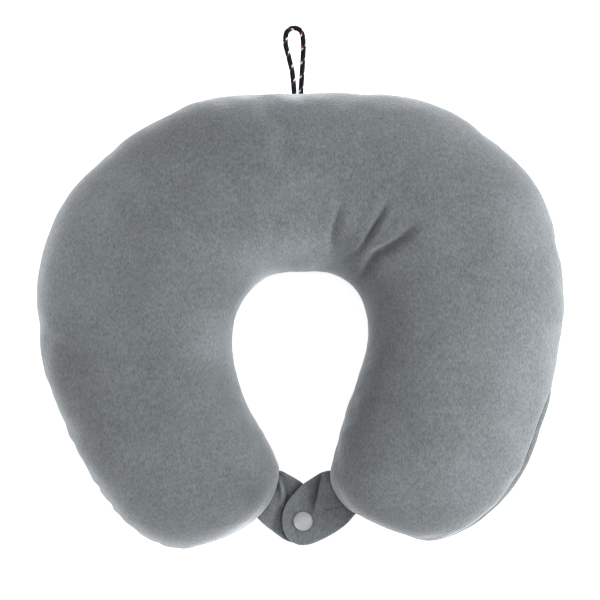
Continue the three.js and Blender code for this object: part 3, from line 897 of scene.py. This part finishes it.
snap_pieces = [
    turned("snap_cap_disc", dome_profile(51.75, 1, 47.1), "cap_tab", "snap_cap"),
    turned("snap_back_disc", dome_profile(40.25, -1, 45.3), "stud_tab", "snap_back_cap"),
    turned(
        "snap_socket_ring",
        [(1.5, 47.9), (1.5, 46.9), (2.9, 46.9), (2.75, 46.0), (2.9, 45.2), (3.1, 45.0), (4.1, 45.0),
         (4.45, 45.25), (4.5, 46.8), (4.7, 47.05), (5.15, 47.1), (5.3, 47.3), (5.3, 47.8), (5.2, 47.9)],
        "cap_tab", "snap_socket",
    ),
    turned(
        "snap_stud_post",
        [(1.5, 44.1), (5.2, 44.1), (5.3, 44.2), (5.3, 44.55), (5.15, 44.7), (2.7, 44.72), (2.35, 44.95),
         (2.3, 45.4), (2.5, 46.0), (2.4, 46.4), (2.1, 46.6), (0.001, 46.6), (0.001, 45.7), (1.5, 45.7)],
        "stud_tab", "snap_stud",
    ),
]


# ---------- hanging loop: braided cord
LOOP_LINE = [
    (-4.1, 146.0), (-4.3, 149), (-5.4, 160), (-7.8, 170.3), (-9.7, 178.5), (-8.8, 186), (-4.1, 188.5),
    (0.6, 186), (1.9, 178.5), (1.7, 170), (1, 158), (0.4, 149), (0.3, 146.0),
]
CORD_STEP = 0.42  # mm between rings of a strand
BRAID_PITCH = 9.1  # one turn of a strand, mm
STRANDS = 6  # in each direction
STRAND_SIDES = 7
STRAND_THICK, STRAND_WIDE = 0.31, 0.58  # half sizes of a strand, mm
BRAID_R, BRAID_WEAVE = 1.3, 0.15  # where a strand's middle lies, and how far it goes over and under, mm
BRAID_START = 2.6
WHITE_STRAND, RED_STRAND = 1, 2  # material slots of the two coloured strands


def open_spline(corners, step):
    """Points about `step` mm apart along an open Catmull-Rom curve, and how far along it each one lies."""
    c = np.array(corners, float)
    c = np.concatenate([[2 * c[0] - c[1]], c, [2 * c[-1] - c[-2]]])
    s = np.linspace(0, len(c) - 3 - 1e-6, 1200)
    i = np.floor(s).astype(int)
    q = catmull_rom(*(c[i + k] for k in range(4)), (s - i)[:, None])
    walked = path_lengths(q)
    at = np.linspace(0, walked[-1], int(walked[-1] / step) + 1)
    return resampled(q, walked, at), at


def braid(line, at):
    """Strands laid over and under each other round the cord: points, faces and each face's material."""
    tangent = unit(np.gradient(line, axis=0))
    beside = np.stack([-tangent[:, 1], tangent[:, 0]], -1)
    points, faces, kinds = [], [], []
    for turn_way in (1, -1):
        for k in range(STRANDS):
            phase = 2 * math.pi * k / STRANDS + BRAID_START
            angle = phase + turn_way * 2 * math.pi * at / BRAID_PITCH
            wave = np.sin(STRANDS * (angle * turn_way) / 2.0 + (0 if turn_way > 0 else math.pi / 2))
            radius = BRAID_R + BRAID_WEAVE * turn_way * np.sign(wave) * np.abs(wave) ** 0.6
            base = len(points)
            for i in range(len(line)):
                c, d = math.cos(angle[i]), math.sin(angle[i])
                centre = np.array([*(line[i] + beside[i] * radius[i] * c), EQUATOR_Z + radius[i] * d])
                out = np.array([*(beside[i] * c), d])
                flat = np.array([*(beside[i] * -d), c]) * turn_way
                lay = np.array([*tangent[i], 0.0])
                across = unit(lay * 2 * math.pi * radius[i] / BRAID_PITCH - flat)
                for m in range(STRAND_SIDES):
                    a = 2 * math.pi * m / STRAND_SIDES
                    thick, wide = STRAND_THICK * math.cos(a), STRAND_WIDE * math.sin(a)
                    points.append(centre + out * thick + across * wide)
            strand = tube_faces(len(line), STRAND_SIDES, base)
            faces += strand
            kind = {0: WHITE_STRAND, 1: RED_STRAND}.get(k, 0) if turn_way > 0 else 0
            kinds += [kind] * len(strand)
    return points, faces, kinds


loop_line, loop_at = open_spline(LOOP_LINE, CORD_STEP)
loop_points, loop_faces, loop_kinds = braid(loop_line, loop_at)
loop = new_object("hanging_loop_cord", loop_points, loop_faces)
stands_for(loop, "hanging_loop", "hanging_loop")


# ---------- zip
COIL_PITCH, COIL_WIRE = 1.15, 0.3  # mm
COIL_SHIFT = 0.25  # how far each coil is shifted along the zip to mesh with the other, mm
COIL_STEPS, COIL_SIDES = 12, 6  # rings in a turn and points in a ring
TAPE_PROFILE = [(3.12, 0.8), (3.12, 3.0), (3.12, 6.0), (3.55, 6.0), (3.55, 3.0), (3.55, 0.8)]  # depth, rise
TAPE_BEFORE, TAPE_PAST, TAPE_STEPS = 4.3, 2.3, 150  # degrees past the coils' ends


def zip_frame(degrees):
    """The middle of the zip at an angle round its arc, with its inward and upward directions."""
    a = np.radians(degrees)
    radial = np.stack([np.cos(a), np.sin(a), np.zeros_like(a)], -1)
    up = np.zeros_like(radial)
    up[..., 2] = 1.0
    inward = -radial * math.cos(ZIP_TILT) + up * math.sin(ZIP_TILT)
    rise = radial * math.sin(ZIP_TILT) + up * math.cos(ZIP_TILT)
    centre = radial * ZIP_R + up * (EQUATOR_Z - ZIP_DROP)
    centre[..., 0] += ZIP_CX
    centre[..., 1] += ZIP_CY
    return centre, inward, rise


def zip_coil(name, side, node):
    """One side's nylon coil: a flattened spring sewn along its tape."""
    turns = int(math.radians(CHAIN_TO - CHAIN_FROM) * ZIP_R / COIL_PITCH)
    t = np.arange(turns * COIL_STEPS + 1) / COIL_STEPS
    degrees = CHAIN_FROM + (CHAIN_TO - CHAIN_FROM) * t / turns
    a = 2 * math.pi * t
    depth = 2.2 + 0.42 * np.sin(a)
    rise = side * (1.45 - 0.95 * np.cos(a) * (1 - 0.1 * np.abs(np.sin(a))))
    centre, inward, up = zip_frame(degrees + side * math.degrees(COIL_SHIFT / ZIP_R))
    line = centre + inward * depth[:, None] + up * rise[:, None]
    tangent = unit(np.gradient(line, axis=0))
    normal = unit(np.cross(tangent, up))
    other = np.cross(tangent, normal)
    points = []
    for i in range(len(line)):
        for m in range(COIL_SIDES):
            b = 2 * math.pi * m / COIL_SIDES
            points.append(line[i] + COIL_WIRE * (normal[i] * math.cos(b) + other[i] * math.sin(b)))
    obj = new_object(name, points, tube_faces(len(line), COIL_SIDES))
    clean_mesh(obj)
    return stands_for(obj, "pillow", node)


def zip_tape(name, side, node):
    """Woven tape: a thin ribbon that follows the arc and runs in behind the cover's turned edge."""
    centre, inward, up = zip_frame(np.linspace(CHAIN_FROM - TAPE_BEFORE, CHAIN_TO + TAPE_PAST, TAPE_STEPS))
    points = [
        centre[i] + inward[i] * depth + up[i] * side * rise
        for i in range(TAPE_STEPS)
        for depth, rise in TAPE_PROFILE
    ]
    obj = new_object(name, points, tube_faces(TAPE_STEPS, len(TAPE_PROFILE)), smooth_shade=False)
    clean_mesh(obj)
    return stands_for(obj, "pillow", node)


coils = [
    zip_coil("zip_coil_turns_upper", 1, "zip_coil_upper"),
    zip_coil("zip_coil_turns_lower", -1, "zip_coil_lower"),
]
tapes = [
    zip_tape("zip_tape_ribbon_upper", 1, "zip_tape_upper"),
    zip_tape("zip_tape_ribbon_lower", -1, "zip_tape_lower"),
]


def bevelled_copy(node, body, width_mm, name):
    """The CAD node's shape with its edges rounded, as die-cast pieces have."""
    obj = add_object(name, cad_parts[node].data.copy())
    obj.data.materials.clear()
    with editing(obj) as bm:
        bmesh.ops.remove_doubles(bm, verts=bm.verts, dist=WELD)
        bmesh.ops.dissolve_limit(bm, angle_limit=FLAT_ANGLE, verts=bm.verts, edges=bm.edges)
    mod = obj.modifiers.new("Bevel", "BEVEL")
    mod.width = width_mm * MM
    mod.segments = 3
    mod.limit_method = "ANGLE"
    mod.harden_normals = False
    depsgraph = bpy.context.evaluated_depsgraph_get()
    obj.data = bpy.data.meshes.new_from_object(obj.evaluated_get(depsgraph))
    obj.modifiers.clear()
    obj.data.polygons.foreach_set("use_smooth", [True] * len(obj.data.polygons))
    return stands_for(obj, body, node)


hardware = [
    bevelled_copy("zip_slider", "zip_slider", 0.16, "zip_slider_cast"),
    bevelled_copy("zip_pull", "zip_pull", 0.16, "zip_pull_cast"),
    bevelled_copy("zip_bottom_stop", "pillow", 0.12, "zip_stop_bottom_cast"),
    bevelled_copy("zip_top_stop_upper", "pillow", 0.12, "zip_stop_upper_cast"),
    bevelled_copy("zip_top_stop_lower", "pillow", 0.12, "zip_stop_lower_cast"),
]


# ---------- materials
def new_material(name, roughness, metallic=0.0):
    mat = bpy.data.materials.new(name)
    mat.use_nodes = True
    bsdf = mat.node_tree.nodes["Principled BSDF"]
    bsdf.inputs["Roughness"].default_value = roughness
    bsdf.inputs["Metallic"].default_value = metallic
    return mat, mat.node_tree, bsdf


def add_node(tree, kind, **values):
    """A node with its input sockets set by name: spaces in a socket's name are underscores."""
    node = tree.nodes.new(kind)
    for key, value in values.items():
        name = key.replace("_", " ")
        if name in node.inputs:
            node.inputs[name].default_value = value
        else:
            setattr(node, key, value)
    return node


def object_coords(tree, scale=(1, 1, 1)):
    coords = add_node(tree, "ShaderNodeTexCoord")
    mapping = add_node(tree, "ShaderNodeMapping")
    mapping.inputs["Scale"].default_value = scale
    tree.links.new(coords.outputs["Object"], mapping.inputs["Vector"])
    return mapping.outputs["Vector"]


def noise_at(tree, vector, scale, detail=2.0, roughness=0.5, distortion=0.0):
    node = add_node(
        tree, "ShaderNodeTexNoise", Scale=scale, Detail=detail, Roughness=roughness, Distortion=distortion
    )
    tree.links.new(vector, node.inputs["Vector"])
    return node.outputs["Fac"]


def math_node(tree, operation, a, b):
    node = add_node(tree, "ShaderNodeMath", operation=operation)
    for socket, value in zip(node.inputs, (a, b)):
        if isinstance(value, (int, float)):
            socket.default_value = value
        else:
            tree.links.new(value, socket)
    return node.outputs[0]


def weighted(tree, a, a_share, b, b_share):
    """The sum of a and b, each times its share."""
    parts = (math_node(tree, "MULTIPLY", value, share) for value, share in ((a, a_share), (b, b_share)))
    return math_node(tree, "ADD", *parts)


def ramp(tree, fac, stops):
    node = add_node(tree, "ShaderNodeValToRGB")
    elements = node.color_ramp.elements
    while len(elements) < len(stops):
        elements.new(0.5)
    for element, (place, color) in zip(elements, stops):
        element.position = place
        element.color = (*color, 1)
    tree.links.new(fac, node.inputs["Fac"])
    return node.outputs["Color"]


def bump(tree, bsdf, height, distance, strength):
    node = add_node(tree, "ShaderNodeBump", Strength=strength, Distance=distance)
    tree.links.new(height, node.inputs["Height"])
    tree.links.new(node.outputs["Normal"], bsdf.inputs["Normal"])


def plush_material():
    """Short-pile plush: fine upright grain, soft brushed patches and a pale bloom at grazing angles, its
    colour scaled by the stored mottle and painted light and shade.
    """
    mat, tree, bsdf = new_material("plush", 0.9)
    vector = object_coords(tree)
    patches = noise_at(tree, vector, 38, 3, 0.5, 0.3)
    tufts = noise_at(tree, vector, 380, 2, 0.6)
    grain = noise_at(tree, object_coords(tree, (1, 0.5, 1)), 1000, 2, 0.65)
    pile = weighted(tree, tufts, 0.3, grain, 0.62)
    mixed = weighted(tree, patches, 0.2, pile, 1.0)
    color = ramp(tree, mixed, [(0.36, (0.09, 0.098, 0.103)), (0.76, (0.19, 0.206, 0.215))])
    # The 'shade' attribute scales the colour: the pile's own mottle together with painted light and painted
    # shade.
    lie = add_node(tree, "ShaderNodeAttribute", attribute_name="shade")
    shaded = add_node(tree, "ShaderNodeVectorMath", operation="SCALE")
    tree.links.new(color, shaded.inputs[0])
    tree.links.new(lie.outputs["Fac"], shaded.inputs["Scale"])
    tree.links.new(shaded.outputs[0], bsdf.inputs["Base Color"])
    bump(tree, bsdf, pile, 0.0009, 0.8)
    bsdf.inputs["Sheen Weight"].default_value = 0.9
    bsdf.inputs["Sheen Roughness"].default_value = 0.38
    bsdf.inputs["Sheen Tint"].default_value = (0.92, 0.96, 1, 1)
    bsdf.inputs["Specular IOR Level"].default_value = 0.1
    return mat


def grain_material(name, dark, light, roughness, scale, relief, metallic=0.0, coat=0.0):
    """A plain material with fine mottling and relief at `scale`."""
    mat, tree, bsdf = new_material(name, roughness, metallic)
    vector = object_coords(tree)
    fine = noise_at(tree, vector, scale, 3, 0.6)
    wide = noise_at(tree, vector, scale / 12, 2, 0.5)
    mixed = weighted(tree, fine, 0.55, wide, 0.45)
    tree.links.new(ramp(tree, mixed, [(0.3, dark), (0.7, light)]), bsdf.inputs["Base Color"])
    bump(tree, bsdf, fine, relief, 0.6)
    bsdf.inputs["Coat Weight"].default_value = coat
    return mat


def weave_material(name, dark, light, threads, relief):
    """Woven or knitted cloth: crossing bands of thread."""
    mat, tree, bsdf = new_material(name, 0.9)
    vector = object_coords(tree)
    bands = []
    for direction in ("X", "Z"):
        wave = add_node(tree, "ShaderNodeTexWave", Scale=threads, Distortion=1.2, Detail=1.0)
        wave.bands_direction = direction
        wave.inputs["Detail Scale"].default_value = 2.0
        tree.links.new(vector, wave.inputs["Vector"])
        bands.append(wave.outputs["Fac"])
    mixed = math_node(tree, "MULTIPLY", bands[0], bands[1])
    tree.links.new(ramp(tree, mixed, [(0.05, dark), (0.7, light)]), bsdf.inputs["Base Color"])
    bump(tree, bsdf, mixed, relief, 0.7)
    bsdf.inputs["Sheen Weight"].default_value = 0.2
    return mat


for material, pieces in (
    (plush_material(), (top_panel, bottom_panel, cap_tab, stud_tab)),
    (
        weave_material("liner_knit", (0.6, 0.59, 0.55), (0.84, 0.83, 0.79), 180, 0.0003),
        (liner_top, liner_bottom),
    ),
    (
        grain_material("memory_foam", (0.62, 0.53, 0.32), (0.84, 0.76, 0.53), 0.95, 900, 0.0006),
        (foam,),
    ),
    (
        grain_material("snap_plastic", (0.37, 0.38, 0.395), (0.45, 0.46, 0.475), 0.42, 500, 0.00004),
        snap_pieces,
    ),
    (grain_material("zip_nylon", (0.09, 0.1, 0.11), (0.16, 0.175, 0.19), 0.38, 1500, 0.00005), coils),
    (weave_material("zip_tape_weave", (0.06, 0.07, 0.075), (0.15, 0.165, 0.175), 700, 0.00012), tapes),
    (
        grain_material(
            "zip_lacquer", (0.2, 0.215, 0.23), (0.3, 0.315, 0.33), 0.32, 900, 0.00002, 0.85, coat=0.4
        ),
        hardware,
    ),
):
    for piece in pieces:
        piece.data.materials.append(material)
for name, dark, light in (
    ("cord_black", (0.002, 0.002, 0.004), (0.009, 0.01, 0.017)),
    ("cord_white", (0.55, 0.54, 0.53), (0.85, 0.84, 0.82)),
    ("cord_red", (0.07, 0.006, 0.014), (0.17, 0.02, 0.036)),
):
    yarn = grain_material(name, dark, light, 0.8, 2500, 0.00008)
    yarn.node_tree.nodes["Principled BSDF"].inputs["Specular IOR Level"].default_value = 0.2
    loop.data.materials.append(yarn)
loop.data.polygons.foreach_set("material_index", loop_kinds)

# ---------- camera, light and floor
CAMERA_AT = (-0.0003, 0.0123)
CAMERA_ABOVE = 1.6  # m above the widest level
PICTURE_WIDTH = 0.3886  # m of that level that fill the picture
SENSOR = 36  # mm
LIT_AT = (0, 0, 0.04)
FLOOR_HALF = 20  # m, so that its edge stays out of low views

camera = bpy.data.cameras.new("camera")
camera.sensor_width = SENSOR
camera.lens = SENSOR * CAMERA_ABOVE / PICTURE_WIDTH
camera_object = add_object("camera", camera)
camera_object.location = (*CAMERA_AT, EQUATOR_Z * MM + CAMERA_ABOVE)
bpy.context.scene.camera = camera_object


def area_light(name, location, size, power):
    """A round lamp that shines on the pillow."""
    light = bpy.data.lights.new(name, "AREA")
    light.shape = "DISK"
    light.size = size
    light.energy = power
    obj = add_object(name, light)
    obj.location = location
    direction = Vector(LIT_AT) - Vector(location)
    obj.rotation_euler = direction.to_track_quat("-Z", "Y").to_euler()


area_light("key", (1.4, 0.35, 1.05), 0.9, 33)
area_light("top", (0.1, 0.1, 2.0), 1.2, 9)
area_light("fill", (-1.35, -1.2, 0.4), 1.2, 17)

world = bpy.data.worlds.new("studio")
world.use_nodes = True
background = world.node_tree.nodes["Background"]
background.inputs["Color"].default_value = (1, 1, 1, 1)
background.inputs["Strength"].default_value = 0.42
bpy.context.scene.world = world
bpy.context.scene.view_settings.view_transform = "Standard"

floor_mesh = bpy.data.meshes.new("floor")
floor_corners = [(x * FLOOR_HALF, y * FLOOR_HALF, 0) for x, y in ((-1, -1), (1, -1), (1, 1), (-1, 1))]
floor_mesh.from_pydata(floor_corners, [], [(0, 1, 2, 3)])
floor = add_object("floor", floor_mesh)
paper, _, paper_shader = new_material("floor_paper", 0.5)
paper_shader.inputs["Base Color"].default_value = (0.9, 0.9, 0.9, 1)
paper_shader.inputs["Emission Color"].default_value = (1, 1, 1, 1)
paper_shader.inputs["Emission Strength"].default_value = 0.7
floor.data.materials.append(paper)
